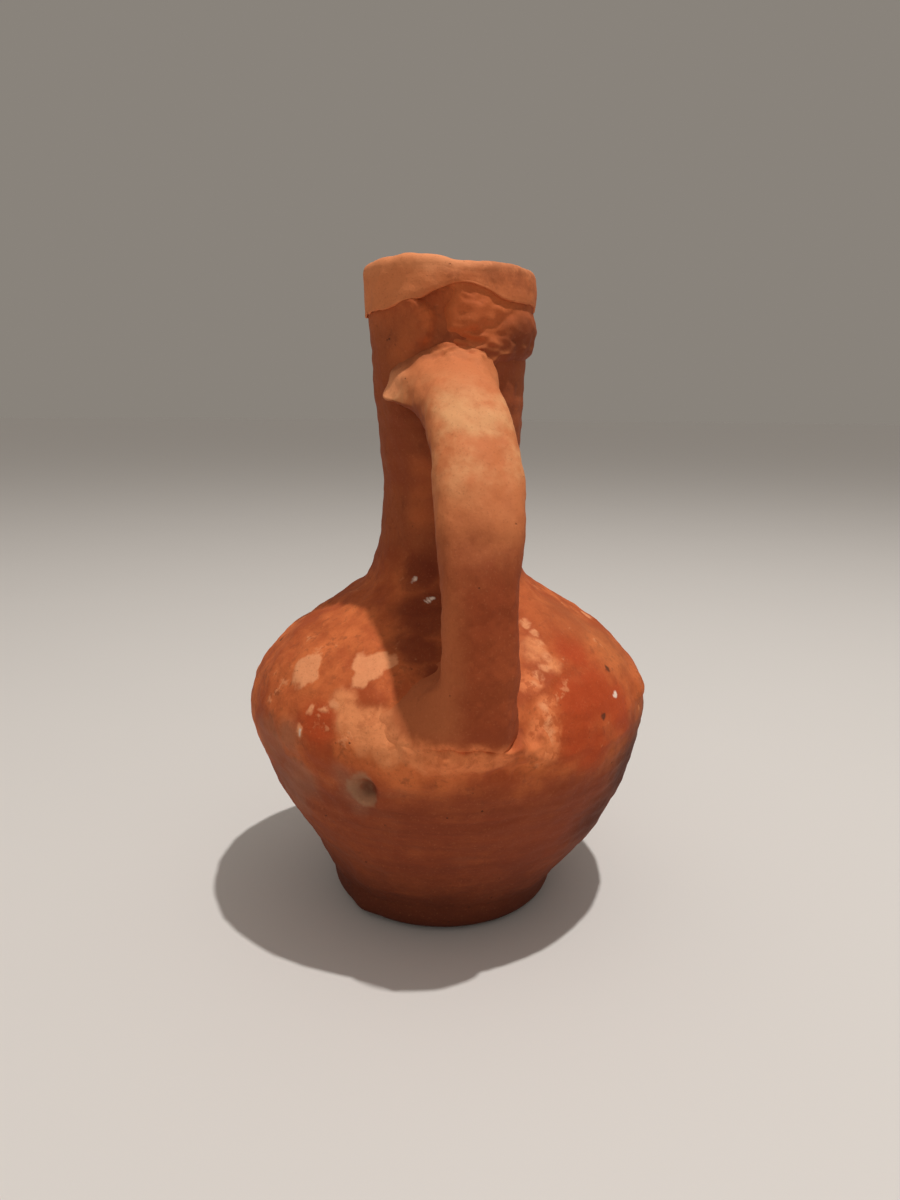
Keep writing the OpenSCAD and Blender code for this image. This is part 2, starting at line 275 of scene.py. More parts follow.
def chained(parts):
    rows, cuts = [parts[0]], [len(parts[0]) - 1]
    for part in parts[1:]:
        rows.append(part[1:])
        cuts.append(cuts[-1] + len(part) - 1)
    return np.vstack(rows), cuts


bellySteps, shoulderSteps = bellySizes["steps"], shoulderSizes["steps"]
lowSteps, neckSteps = neckSizes["lowSteps"], neckSizes["steps"]
outerRows, outerCuts = chained([
    footOutside(), outsideRows(bellyCurve, bellySteps[0]), outsideRows(shoulderCurve, shoulderSteps[0]),
    np.vstack([outsideRows(neckLowCurve, lowSteps[0]), outsideRows(neckHighCurve, neckSteps[0])[1:]])])
innerRows, innerCuts = chained([
    footInside(), insideRows(bellyCurve, footSizes["wall"], bellySizes["wall"], bellySteps[1]),
    insideRows(shoulderCurve, bellySizes["wall"], shoulderSizes["wall"], shoulderSteps[1]),
    np.vstack([insideRows(neckLowCurve, shoulderSizes["wall"], neckSizes["throatWall"], lowSteps[1]),
               insideRows(neckHighCurve, neckSizes["throatWall"], neckSizes["wall"], neckSteps[1])[1:]])])
bodyRows = outerRows[outerRows[:, 1] > footSizes["edge"]]

# the body sits a little askew on its foot: height, then shift to the right of the handle
askew = [(0, -0.75), (4, -0.75), (7, -0.5), (10.5, 0.1), (12.3, 0.5), (15, 1.0), (18.5, 1.0),
         (22, 0.65), (30, 0.3), (36, -0.15), (40, -0.35), (47, 0), (60, 0)]


def shiftAt(z):
    return throughKnots(z, askew) * np.array([0.0, 1.0])


def wallRadius(z):
    return np.interp(z, bodyRows[:, 1], bodyRows[:, 0])


def onWall(bearing, z, off):
    a, r = np.radians(bearing), wallRadius(z) + off
    z = z + 0 * a
    flat = np.stack([r * np.cos(a), r * np.sin(a)], -1) + shiftAt(z)
    return np.concatenate([flat, np.asarray(z)[..., None]], -1)


# marks in the clay: bearing from the handle in degrees, height and sizes in mm
wallMarks = {
    "lumps": [(0.24, 36, 11), (0.10, 12, 12), (0.045, 4.5, 13), (0.02, 2, 20)],   # height, size, seed
    "turning": (0.05, 3.3), "from": (0.5, 7), "to": (106, 113),
    # the ring's height, and its place and width over the pit's radius
    "pit": {"at": (-28.3, 34.4), "radius": 2.0, "depth": 1.7, "ring": (0.2, 1.5, 0.4)},
    "flake": {"at": (66, 45.2), "half": (3.4, 2.1), "lift": 0.75},
    "seam": {"line": [(-30, 31.2), (-17, 30.1), (-6, 28.4), (3.4, 27.7), (14, 29)],
             "depth": 0.2, "width": 0.45},
    "clod": {"at": (-52, 2.4), "half": (2.6, 1.5), "lift": 0.7},
    # fuller and flatter places: bearing and height, half sizes, lift
    "swells": [((74, 26), (17, 10.5), 0.75), ((-84, 62), (12, 6), -0.45), ((-97, 100), (8, 8), -0.35),
               ((0, 8.6), (400, 3.4), 0.65)],
    "thumb": {"at": (-15.6, 112), "half": (2.3, 4.3), "depth": 1.2},
    # height, then bearing of the ridge that the thumb pushed up at its left
    "ridge": {"line": [(106, -28), (107.6, -23.5), (109, -21.8), (110.6, -22.2), (112.4, -26), (114, -33)],
              "lift": 1.1, "steep": 0.9, "fade": 4.5, "from": (104.5, 108), "to": (113, 115)},
    "smear": {"line": [(29, 59.4), (28, 56), (26.5, 53), (18, 51), (19.5, 47.5), (18.3, 44), (17, 41)],
              "lift": 0.3, "width": 1.5},
    # arcs that the cutting wire left underneath
    "wire": {"from": (-30, 8), "pitch": 1.5, "depth": 0.08, "reach": (15.5, 17.5)},
}
# inside: height and pitch of the throwing rings, height and size of the dents, and where both fade
liningMarks = {"rings": (0.22, 4.6), "dents": (0.15, 16), "to": (108, 116)}


def apart(bearing, z, at):
    # how far a place on the wall lies from a mark, round and up, in mm
    turn = (bearing - at[0] + 180) % 360 - 180
    return np.radians(turn) * wallRadius(at[1]), z - at[1]


def blob(bearing, z, at, half, power=2):
    dx, dz = apart(bearing, z, at)
    return np.exp(-(np.abs(dx / half[0]) ** power + np.abs(dz / half[1]) ** power))


def lineDistance(bearing, z, knots):
    best = np.full(np.shape(bearing), 1e9)
    for a, b in zip(knots[:-1], knots[1:]):
        ax, az = apart(bearing, z, a)
        bx, bz = apart(np.asarray(b[0], float), b[1], a)
        t = np.clip((ax * bx + az * bz) / (bx * bx + bz * bz), 0, 1)
        best = np.minimum(best, np.hypot(ax - bx * t, az - bz * t))
    return best


def bearingOf(points):
    return np.degrees(np.arctan2(points[..., 1], points[..., 0]))


def wallRelief(points):
    bearing, z = bearingOf(points), points[..., 2]
    lift = lumped(points, wallMarks["lumps"])
    height, pitch = wallMarks["turning"]
    lift += height * np.sin(2 * np.pi * z / pitch + 1.5 * lumps(points * (1, 1, 0.2), 60, 14))
    lift *= eased(z, *wallMarks["from"]) * (1 - eased(z, *wallMarks["to"]))
    pit = wallMarks["pit"]
    away = np.hypot(*apart(bearing, z, pit["at"])) / pit["radius"] * (1 + 0.05 * lumps(points, 4, 15))
    height, place, width = pit["ring"]
    lift += height * np.exp(-((away - place) / width) ** 2) - pit["depth"] * np.exp(-away ** 3)
    flake = wallMarks["flake"]
    scab = flake["lift"] * blob(bearing, z, flake["at"], flake["half"], 4)
    lift += scab * (1 + 0.2 * lumps(points, 3, 16))
    seam = wallMarks["seam"]
    near = lineDistance(bearing, z, seam["line"]) + 0.15 * lumps(points, 5, 17)
    lift -= seam["depth"] * np.exp(-(near / seam["width"]) ** 2)
    clod = wallMarks["clod"]
    lift += clod["lift"] * blob(bearing, z, clod["at"], clod["half"])
    thumb = wallMarks["thumb"]
    lift -= thumb["depth"] * blob(bearing, z, thumb["at"], thumb["half"], 3)
    ridge = wallMarks["ridge"]
    across = np.radians(bearing - throughKnots(z, ridge["line"])[..., 0]) * wallRadius(z)
    across += 0.15 * lumps(points, 4, 23)
    crest = ridge["lift"] * np.exp(-(across / np.where(across > 0, ridge["steep"], ridge["fade"])) ** 2)
    lift += crest * eased(z, *ridge["from"]) * (1 - eased(z, *ridge["to"]))
    for at, half, height in wallMarks["swells"]:
        lift += height * blob(bearing, z, at, half)
    smear = wallMarks["smear"]
    near = lineDistance(bearing, z, smear["line"]) + 0.7 * lumps(points, 6, 18)
    lift += smear["lift"] * np.exp(-(near / smear["width"]) ** 2) * (0.7 + 0.3 * lumps(points, 2.5, 19))
    wire = wallMarks["wire"]
    sweep = np.hypot(points[..., 0] - wire["from"][0], points[..., 1] - wire["from"][1])
    grooves = 1 + np.sin(2 * np.pi * sweep / wire["pitch"] + lumps(points, 9, 24))
    inset = (z < 0.01) * (1 - eased(np.hypot(points[..., 0], points[..., 1]), *wire["reach"]))
    return lift - wire["depth"] * grooves * inset


def liningRelief(points):
    z = points[..., 2]
    (height, pitch), (dent, size) = liningMarks["rings"], liningMarks["dents"]
    lift = height * np.sin(2 * np.pi * z / pitch + 0.9 * lumps(points, 45, 21))
    lift += dent * lumps(points, size, 22)
    return lift * (1 - eased(z, *liningMarks["to"]))


def revolved(rows, relief):
    a = 2 * np.pi * np.arange(roundSteps) / roundSteps
    c, s, one = np.cos(a), np.sin(a), np.ones(roundSteps)
    points = np.stack([np.outer(rows[:, 0], c), np.outer(rows[:, 0], s), np.outer(rows[:, 1], one)], -1)
    out = np.stack([np.outer(rows[:, 2], c), np.outer(rows[:, 2], s), np.outer(rows[:, 3], one)], -1)
    points = points + out * relief(points)[..., None]
    points[..., :2] += shiftAt(points[..., 2])
    return points


outerWall = revolved(outerRows, wallRelief)
innerWall = revolved(innerRows, liningRelief)
outerNormals = gridNormals(outerWall, False, True)
innerNormals = -gridNormals(innerWall, False, True)


def makeWall(name, part):
    o0, o1 = (0 if part == 0 else outerCuts[part - 1]), outerCuts[part] + 1
    i0, i1 = (0 if part == 0 else innerCuts[part - 1]), innerCuts[part] + 1
    clay = ClayMesh()
    outside = clay.addPoints(outerWall[o0:o1], outerNormals[o0:o1]).reshape(o1 - o0, roundSteps)
    inside = clay.addPoints(innerWall[i0:i1][::-1], innerNormals[i0:i1][::-1]).reshape(i1 - i0, roundSteps)
    loop = np.vstack([outside, inside])
    seats = {len(outside) - 1} if part == 0 else {len(outside) - 1, len(loop) - 1}
    clay.addQuads(loop, part != 0, True, lambda r: r not in seats)
    if part == 0:
        under = clay.addPoints([outerWall[0].mean(0)], [[0, 0, -1]])[0]
        floor = clay.addPoints([innerWall[0].mean(0)], [[0, 0, 1]])[0]
        clay.addFan(outside[0], under, False, True)
        clay.addFan(inside[-1], floor, True, True)
    return clay.build(name)


wallPieces = {node: makeWall(node + "Clay", part)
              for part, node in enumerate(("foot", "belly", "shoulder", "neck"))}
print("stage: wall thrown,", sum(len(p.data.polygons) for p in wallPieces.values()), "faces")


# the collar folded over the lip: knots of bearing and height, or bearing and outward curl of the hem
collarSizes = {
    "lip": 120, "thick": 0.4, "gap": 0.1, "bulge": 0.14, "hemThicker": 0.4, "hemRound": 0.55,
    "flatness": 0.85,               # the lip is a little flatter than a half circle
    "steps": (3, 28, 30, 10, 4),    # up the inside, over the lip, down the outside, round the hem, back up
    "worked": (2, 10, 58, 68),      # first row with dents, rows until full, rows where they fade and end
    # height, size, seed
    "dents": [(0.15, 12, 33), (0.05, 5, 34), (0.015, 2, 35)],
    "topLumps": [(0.10, 7, 31)], "hemLumps": [(0.16, 7, 32), (0.06, 3, 36)],
    "top": [(-180, 0.1), (-130, 0.2), (-104, 0.45), (-88, 0.6), (-65, 0.85), (-51, 1.15), (-41, 1.1),
            (-32, 0.95), (-22, 1.05), (-13, 0.7), (-2, 0.15), (11, 0.05), (25, 0.25), (38, 0.3),
            (52, 0.1), (66, -0.2), (100, -0.1)],
    "hem": [(-180, 112.6), (-140, 113.2), (-100, 112.3), (-71, 112.4), (-53, 112.6), (-37, 113.5),
            (-26, 114.1), (-18, 115.2), (-7, 116.0), (4, 116.2), (14, 115.5), (24, 114.6), (36, 113.9),
            (56, 113.7), (90, 113.0), (130, 112.4)],
    "curl": [(-180, 0.1), (-120, 0.1), (-80, 0.12), (-58, 0.3), (-36, 0.4), (-24, 0.28), (-12, 0.12),
             (8, 0.15), (24, 0.18), (45, 0.15), (70, 0.05), (120, 0.05)],
}


def collarHem(bearing):
    return aroundKnots(bearing, collarSizes["hem"])[..., 0]


def makeCollar(name):
    size = collarSizes
    bearing = 360 * np.arange(roundSteps) / roundSteps
    a = np.radians(bearing)
    circle = np.stack([15 * np.cos(a), 15 * np.sin(a), 0 * a], -1)      # about the neck's size
    top = size["lip"] + aroundKnots(bearing, size["top"])[:, 0] + lumped(circle, size["topLumps"])
    hem = collarHem(bearing) + lumped(circle, size["hemLumps"])
    curl = aroundKnots(bearing, size["curl"])[:, 0]
    outR, inR = neckSizes["end"][0] + size["thick"], neckSizes["end"][0] - neckSizes["wall"]
    seatZ = neckSizes["end"][1]
    half, middle = (outR - inR) / 2, (outR + inR) / 2
    flatness = size["flatness"]
    inSteps, lipSteps, outSteps, hemSteps, backSteps = size["steps"]
    rows = []
    for u in np.linspace(0, 1, inSteps + 1):
        rows.append((inR + 0 * a, mixed(seatZ, top - half, u)))
    for turn in np.linspace(0, np.pi, lipSteps + 1)[1:]:
        out = np.sign(np.cos(turn)) * abs(np.cos(turn)) ** flatness
        rows.append((middle - half * out, top - half + half * np.sin(turn) ** flatness))
    hemIn = wallRadius(hem) + size["gap"]
    hemOut = hemIn + size["thick"] * (1 + size["hemThicker"] * curl)
    for u in np.linspace(0, 1, outSteps + 1)[1:]:
        bulge = size["bulge"] * np.sin(np.pi * u) + curl * eased(u, 0.5, 1.0)
        rows.append((mixed(outR, hemOut, eased(u, 0, 1)) + bulge, mixed(top - half, hem, u)))
    for turn in np.linspace(0, np.pi, hemSteps + 1)[1:]:
        reach = mixed(hemOut + curl, hemIn, (1 - np.cos(turn)) / 2)
        rows.append((reach, hem - size["thick"] * size["hemRound"] * np.sin(turn)))
    for u in np.linspace(0, 1, backSteps + 1)[1:]:
        z = mixed(hem, seatZ, u)
        rows.append((wallRadius(z) + size["gap"], z))
    points = np.stack([np.stack([r * np.cos(a), r * np.sin(a), z], -1) for r, z in rows])
    begin, full, fade, end = size["worked"]
    worked = np.zeros(len(rows))                          # the inside of the fold stays as it is
    worked[begin:fade] = eased(np.arange(fade - begin), 0, full)
    worked[fade:end] = np.linspace(1, 0, end - fade)
    dent = lumped(points, size["dents"]) * worked[:, None]
    points = points + gridNormals(points, True, True) * dent[..., None]
    clay = ClayMesh()
    normals = gridNormals(points, True, True)
    normals[:inSteps + 1] = gridNormals(points[:inSteps + 3], False, True)[:inSteps + 1]
    index = clay.addPoints(points, normals).reshape(len(rows), roundSteps)
    clay.addQuads(index, True, True, lambda r: r < len(rows) - backSteps - 1)
    return clay.build(name)


collarPiece = makeCollar("collarClay")
print("stage: collar folded,", len(collarPiece.data.polygons), "faces")


# the pulled strap and the clay worked round its two ends, made as one run and cut at the joints
strapSizes = {
    "top": (101.5, 30), "far": (38.6, 67), "foot": (47, 62), "pull": (13, 14, 9, 5), "square": 2.4,
    "from": 0.2, "to": 1.6, "sides": 112, "steps": 120,
    "wiped": {"upper": 12, "lower": 10, "passes": 60},            # rings on each side of a joint
    "lumps": [(0.20, 17, 51), (0.09, 6, 52), (0.035, 2.4, 53)],   # height, size, seed
    "kneaded": {"at": (-2, 105.2), "half": (7, 1.9), "height": 0.2, "size": 1.8, "seed": 54},
    # drawn by the thumb along the right, and a flatter band along the left
    "groove": {"depth": 0.45, "at": 2.9, "half": 1.3, "from": (0.25, 0.6), "to": (1.0, 1.4)},
    "flat": {"depth": 0.35, "at": -4.0, "half": 1.2, "from": (0.7, 1.1), "to": (1.7, 1.8)},
    # place along the strap, then width, shift to the right and thickness
    "stations": [(0.2, 14.0, -0.9, 10.2), (0.3, 13.9, -0.3, 10.1), (0.4, 14.0, 0.25, 9.9),
                 (0.5, 14.1, 0.63, 9.8), (0.6, 14.0, 0.7, 9.7), (0.7, 13.8, 0.5, 9.5),
                 (0.8, 13.2, 0.2, 9.4), (0.9, 12.8, 0, 9.3), (1.0, 12.6, 0, 9.2), (1.2, 12.4, 0, 9.3),
                 (1.6, 11.9, 0, 9.5)],
}
# where a root's edge starts to round over, how far that tucks in, and how deep its back lies
rootSizes = {"nose": 0.86, "tuck": -0.4, "back": -0.9, "backSteps": 8}
# edge knots: side of the strap, then bearing, height, stand-off and hollowness of the root there
upperRoot = {
    "steps": 46, "bend": (0.3, 0.9), "middle": (-4, 100.5), "wander": (0.7, 0.3), "seed": 41,
    "edge": [(0, 31, 98.6, 0.2, 1.8), (30, 25, 102.6, 0.4, 1.8), (60, 13, 106.0, 0.1, 2.0),
             (75, 4, 106.5, 0.0, 2.0), (90, -5, 106.6, 0.0, 2.0), (105, -15, 106.7, -0.1, 2.0),
             (120, -25, 106.2, -0.3, 2.0), (146, -46, 104.0, -0.2, 1.8), (165, -56, 101.8, 0.2, 1.6),
             (181, -56.5, 99.6, 0.9, 1.4), (194, -56, 97.8, 2.0, 1.3), (206, -50, 97.2, 3.2, 1.3),
             (232, -30, 97.6, 3.3, 1.5), (270, -2, 93.6, -0.2, 2.0), (315, 21, 94.8, -0.2, 2.0)],
}
lowerRoot = {
    "steps": 46, "bend": (0.3, 0.3), "middle": (-1, 48), "wander": (0.3, 0.25), "seed": 45,
    "edge": [(0, 10.2, 48.5, -0.1, 1.3), (30, 10.8, 44.7, 0.3, 1.1), (60, 6.6, 42.0, 2.4, 1.0),
             (90, 0, 42.4, 2.7, 1.0), (115, -9, 42.2, 2.2, 1.1), (135, -18, 42.8, 0.7, 1.5),
             (152, -25, 43.8, -0.2, 2.0), (167, -27.5, 45.8, -0.3, 2.2), (182, -26.5, 48.0, -0.3, 2.2),
             (200, -21, 50.8, -0.3, 2.2), (220, -14, 53.0, -0.3, 2.0), (245, -8, 54.7, -0.3, 1.8),
             (270, -1, 55.5, -0.2, 1.6), (315, 9, 52.6, -0.2, 1.6)],
}
topZ, footZ = strapSizes["top"][0], strapSizes["foot"][0]
topDrop, footDrop = math.radians(strapSizes["top"][1]), math.radians(strapSizes["foot"][1])
pulls = strapSizes["pull"]
strapUpper = bend((float(wallRadius(topZ)), topZ), (math.cos(topDrop), -math.sin(topDrop)), pulls[0],
                  strapSizes["far"], (0, -1), pulls[1])
strapLower = bend(strapSizes["far"], (0, -1), pulls[2], (float(wallRadius(footZ)), footZ),
                  (-math.cos(footDrop), -math.sin(footDrop)), pulls[3])
sideAngle = 360 * np.arange(strapSizes["sides"]) / strapSizes["sides"]
sideWay = np.stack([np.cos(np.radians(sideAngle)), np.sin(np.radians(sideAngle)), 0 * sideAngle], -1)


def strapRing(s):
    curve, t = (strapUpper, s) if s < 1 else (strapLower, s - 1)
    wide, shift, thick = throughKnots(s, strapSizes["stations"])
    shape = np.sign(sideWay) * np.abs(sideWay) ** (2 / strapSizes["square"])
    x, y = wide / 2 * shape[:, 0], thick / 2 * shape[:, 1]
    outer = np.clip(sideWay[:, 1], 0, 1) ** 2
    for mark in (strapSizes["groove"], strapSizes["flat"]):
        depth = mark["depth"] * eased(s, *mark["from"]) * (1 - eased(s, *mark["to"]))
        y -= outer * depth * np.exp(-((x - mark["at"]) / mark["half"]) ** 2)
    at = along(curve, t) + leftOf(heading(curve, t)) * y[:, None]
    return np.stack([at[:, 0], x + shift, at[:, 1]], -1)


def rootRings(ring, root):
    # from the strap's end down to the worked edge on the wall, then back under the clay
    edge = aroundKnots(sideAngle, root["edge"])
    turn, rise = root["wander"]
    target = edge[:, :2] + np.stack([turn * lumps(sideWay * 10, 9, root["seed"]),
                                     rise * lumps(sideWay * 10, 7, root["seed"] + 1)], -1)
    start = np.stack([bearingOf(ring), ring[:, 2]], -1)
    off = np.hypot(ring[:, 0], ring[:, 1]) - wallRadius(ring[:, 2])
    turned = mixed(start, target, np.array(root["bend"]))     # how soon it heads for the edge, round and up
    rings = []
    for t in np.sin(np.linspace(0, np.pi / 2, root["steps"] + 1))[1:]:
        place = (1 - t) ** 2 * start + 2 * t * (1 - t) * turned + t * t * target
        stand = mixed(edge[:, 2], off, (1 - t) ** edge[:, 3])
        over = min(max((t - rootSizes["nose"]) / (1 - rootSizes["nose"]), 0), 1)
        stand = mixed(rootSizes["tuck"], stand, math.sqrt(1 - over ** 2))
        rings.append(onWall(place[:, 0], place[:, 1], stand))
    back = []
    for t in np.linspace(0, 1, rootSizes["backSteps"] + 1)[:-1]:
        place = mixed(target, np.array(root["middle"], float), t)
        back.append(onWall(place[:, 0], place[:, 1], rootSizes["back"]))
    return np.array(rings), np.array(back), onWall(*root["middle"], rootSizes["back"])


strapPlaces = np.linspace(strapSizes["from"], strapSizes["to"], strapSizes["steps"] + 1)
strapRings = np.array([strapRing(s) for s in strapPlaces])
upperFront, upperBack, upperHub = rootRings(strapRings[0], upperRoot)
lowerFront, lowerBack, lowerHub = rootRings(strapRings[-1], lowerRoot)
handleRun = np.concatenate([upperFront[::-1], strapRings, lowerFront])
upperCut = len(upperFront)
lowerCut = upperCut + len(strapRings) - 1


def wetSmooth(run, joint, reach, passes):
    # wipes the crease at a joint, leaving the rest as it is
    k = np.arange(len(run))
    weight = (0.5 * np.exp(-((k - joint) / reach) ** 2))[1:-1, None, None]
    for _ in range(passes):
        run[1:-1] += weight * ((run[:-2] + run[2:]) / 2 - run[1:-1])


def rippled(points, bearing, z, mark):
    # fine wrinkles, drawn out sideways
    height = mark["height"] * blob(bearing, z, mark["at"], mark["half"])
    return height * lumps(points * (1, 0.6, 1.4), mark["size"], mark["seed"])


wiped = strapSizes["wiped"]
wetSmooth(handleRun, upperCut, wiped["upper"], wiped["passes"])
wetSmooth(handleRun, lowerCut, wiped["lower"], wiped["passes"])
handleLift = lumped(handleRun, strapSizes["lumps"])
handleLift += rippled(handleRun, bearingOf(handleRun), handleRun[..., 2], strapSizes["kneaded"])
handleRun += gridNormals(handleRun, False, True) * handleLift[..., None]
runNormals = gridNormals(handleRun, False, True)


def makeRun(first, last, start, end):
    # start and end close the run: rings that lead to a hub, and the hub
    clay = ClayMesh()
    part = slice(first, last + 1)
    shown = clay.addPoints(handleRun[part], runNormals[part]).reshape(last - first + 1, -1)
    clay.addQuads(shown, False, True, True)
    for ring, (rings, hub), opening in ((shown[0], start, True), (shown[-1], end, False)):
        for more in rings:
            nextRing = clay.addPoints(more)
            pair = np.vstack([nextRing, ring] if opening else [ring, nextRing])
            clay.addQuads(pair, False, True, False)
            ring = nextRing
        clay.addFan(ring, clay.addPoints([hub])[0], not opening)
    return clay


upperJoint = ([], handleRun[upperCut].mean(0))
lowerJoint = ([], handleRun[lowerCut].mean(0))
upperClay = makeRun(0, upperCut, (upperBack, upperHub), upperJoint)
strapPiece = makeRun(upperCut, lowerCut, upperJoint, lowerJoint).build("strapClay")
lowerClay = makeRun(lowerCut, len(handleRun) - 1, lowerJoint, (lowerBack, lowerHub))


# how far a sheet of clay sinks in where it has no height, its border in steps, its edge and its back
sheetSizes = {"sunk": 0.4, "border": 7, "edge": -0.3, "back": -1.6}


def sheetGrid(size):
    bearing, z = np.meshgrid(np.linspace(*size["bearings"], size["steps"][0]),
                             np.linspace(*size["heights"], size["steps"][1]))
    return bearing, z, onWall(bearing, z, 0)


def addSheet(clay, bearing, z, lift):
    # clay spread over the worked wall
    size = sheetSizes
    rows, cols = bearing.shape
    ground = wallRelief(onWall(bearing, z, 0))
    r, c = np.arange(rows)[:, None], np.arange(cols)[None]
    inset = np.minimum(np.minimum(r, rows - 1 - r), np.minimum(c, cols - 1 - c))
    lift = mixed(size["edge"], lift, eased(inset, 0, size["border"]))
    front = onWall(bearing, z, ground + lift - size["sunk"])
    shown = clay.addPoints(front, gridNormals(front, False, False)).reshape(rows, cols)
    clay.addQuads(shown, False, False, True)
    hidden = shown.copy()
    behind = onWall(bearing, z, ground + size["back"])[1:-1, 1:-1]
    hidden[1:-1, 1:-1] = clay.addPoints(behind).reshape(rows - 2, cols - 2)
    clay.addQuads(hidden[:, ::-1], False, False, False)


# clay kneaded up under the collar beside the upper root, with a lobe at its right
kneadedClay = {
    "bearings": (-18, 106), "heights": (101, 118.5), "steps": (212, 114),
    "lift": 1.1, "left": (-15, 5), "right": (74, 100), "rise": (-0.6, 1.5), "swellRise": (-0.2, 1.6),
    "lumps": [(0.12, 6, 62), (0.07, 2.4, 63)],
    # lift that fits under the collar, and behind it, each with its reach from the hem
    "under": (0.62, -2.6, -0.4), "behind": (0.1, 0.3, 1.8),
    "low": [(-18, 102.5), (24, 102.5), (36, 103.6), (48, 104), (62, 103.8), (76, 104.6), (86, 106.6),
            (98, 110.5)],
    "swells": [((60, 108), (6.5, 3.6), 0.65), ((8, 111.6), (5, 2.4), 0.25), ((24, 107.4), (4, 1.7), 0.4)],
    # line, depth, width
    "grooves": [([(-8, 107.4), (0, 107.9), (8, 108.4), (18, 109.2), (28, 110.4), (36, 111.6)], 0.3, 0.9),
                ([(-4, 115), (10, 113.5), (28, 112.8)], 0.25, 0.8)],
    "ripples": {"at": (2, 107.4), "half": (7, 1.7), "height": 0.22, "size": 1.7, "seed": 65},
}


def addKneadedClay(clay):
    size = kneadedClay
    bearing, z, place = sheetGrid(size)
    wobble = lumps(place, 5, 61)
    low = throughKnots(bearing, size["low"])[..., 0] + 0.15 * wobble
    lift = (size["lift"] + lumped(place, size["lumps"])) * eased(z - low, *size["rise"])
    lift += rippled(place, bearing, z, size["ripples"])
    for at, half, height in size["swells"]:
        lift += height * blob(bearing, z, at, half) * eased(z - low, *size["swellRise"])
    for line, depth, width in size["grooves"]:
        near = lineDistance(bearing, z, line) + 0.25 * lumps(place, 3, 64)
        lift -= depth * np.exp(-(near / width) ** 2)
    lift *= eased(bearing + 3 * wobble, *size["left"]) * (1 - eased(bearing + 5 * wobble, *size["right"]))
    above = z - collarHem(bearing)
    thin, low, high = size["under"]
    lift = mixed(lift, np.minimum(lift, thin + 0.06 * wobble), eased(above, low, high))
    thin, low, high = size["behind"]
    lift = mixed(lift, thin, eased(above, low, high))
    addSheet(clay, bearing, z, lift)


# the roll of clay pushed out under the lower root, pinched at its right
lipClay = {
    "bearings": (-32, 34), "heights": (31.5, 50.5), "steps": (170, 114), "steep": 2.2,
    "lumps": [(0.16, 5, 73), (0.05, 2, 74)],
    # bearing, height of the roll's crest, its lift, its reach up and down
    "roll": [(-24, 44.2, 0, 1.4, 2.4), (-19, 43.6, 0.8, 1.5, 2.8), (-15, 43.3, 1.8, 1.6, 3.2),
             (-11, 43.4, 2.9, 1.8, 3.8), (-7, 43.6, 3.7, 1.7, 4.2), (-2, 43.6, 3.8, 1.7, 4.2),
             (3, 43.4, 3.9, 1.7, 4.0), (7.5, 43.2, 3.6, 1.8, 3.6), (10.5, 43.3, 2.7, 1.8, 3.2),
             (13, 42.8, 1.5, 1.8, 2.8), (17, 42.6, 0.5, 1.6, 2.6), (22, 43, 0, 1.5, 2.4)],
    "pad": {"at": (-6, 37.6), "half": (10, 3.6), "lift": 0.5},
    "pinches": [((9.5, 43.2), (13.5, 38.8)), ((13.5, 43.8), (17, 39.6)), ((17, 44.4), (20.5, 40.8))],
    "pinch": (0.28, 0.8),
}


def addLipClay(clay):
    size = lipClay
    bearing, z, place = sheetGrid(size)
    crest, lift, up, down = np.moveaxis(throughKnots(bearing, size["roll"]), -1, 0)
    over = z - crest + 0.5 * lumps(place, 4.6, 71)
    lift = np.maximum(lift, 0) * np.exp(-np.abs(over / np.where(over > 0, up, down)) ** size["steep"])
    pad = size["pad"]
    spread = pad["lift"] * blob(bearing, z, pad["at"], pad["half"])
    lift += spread * (1 + 0.3 * lumps(place, 7, 72))
    height, width = size["pinch"]
    for pinch in size["pinches"]:
        lift += height * np.exp(-(lineDistance(bearing, z, list(pinch)) / width) ** 2)
    lift += lumped(place, size["lumps"]) * eased(lift, 0.2, 0.9)
    addSheet(clay, bearing, z, lift)


addKneadedClay(upperClay)
addLipClay(lowerClay)
upperPiece, lowerPiece = upperClay.build("upperRootClay"), lowerClay.build("lowerRootClay")
handlePieces = (strapPiece, upperPiece, lowerPiece)
print("stage: handle pulled,", sum(len(p.data.polygons) for p in handlePieces), "faces")


# shader sums
class Value:
    # a socket that takes part in sums
    def __init__(self, recipe, socket):
        self.recipe, self.socket = recipe, socket

    def sum(self, operation, first, second):
        return self.recipe.add("ShaderNodeMath", {"operation": operation}, {0: first, 1: second})

    def __add__(self, other):
        return self.sum("ADD", self, other)

    __radd__ = __add__

    def __sub__(self, other):
        return self.sum("SUBTRACT", self, other)

    def __rsub__(self, other):
        return self.sum("SUBTRACT", other, self)

    def __mul__(self, other):
        return self.sum("MULTIPLY", self, other)

    __rmul__ = __mul__

    def most(self, other):
        return self.sum("MAXIMUM", self, other)

    def ramp(self, low, high):
        # 0 at low, 1 at high, eased
        return self.recipe.add("ShaderNodeMapRange", {"interpolation_type": "SMOOTHSTEP"},
                               {"Value": self, "From Min": low, "From Max": high})


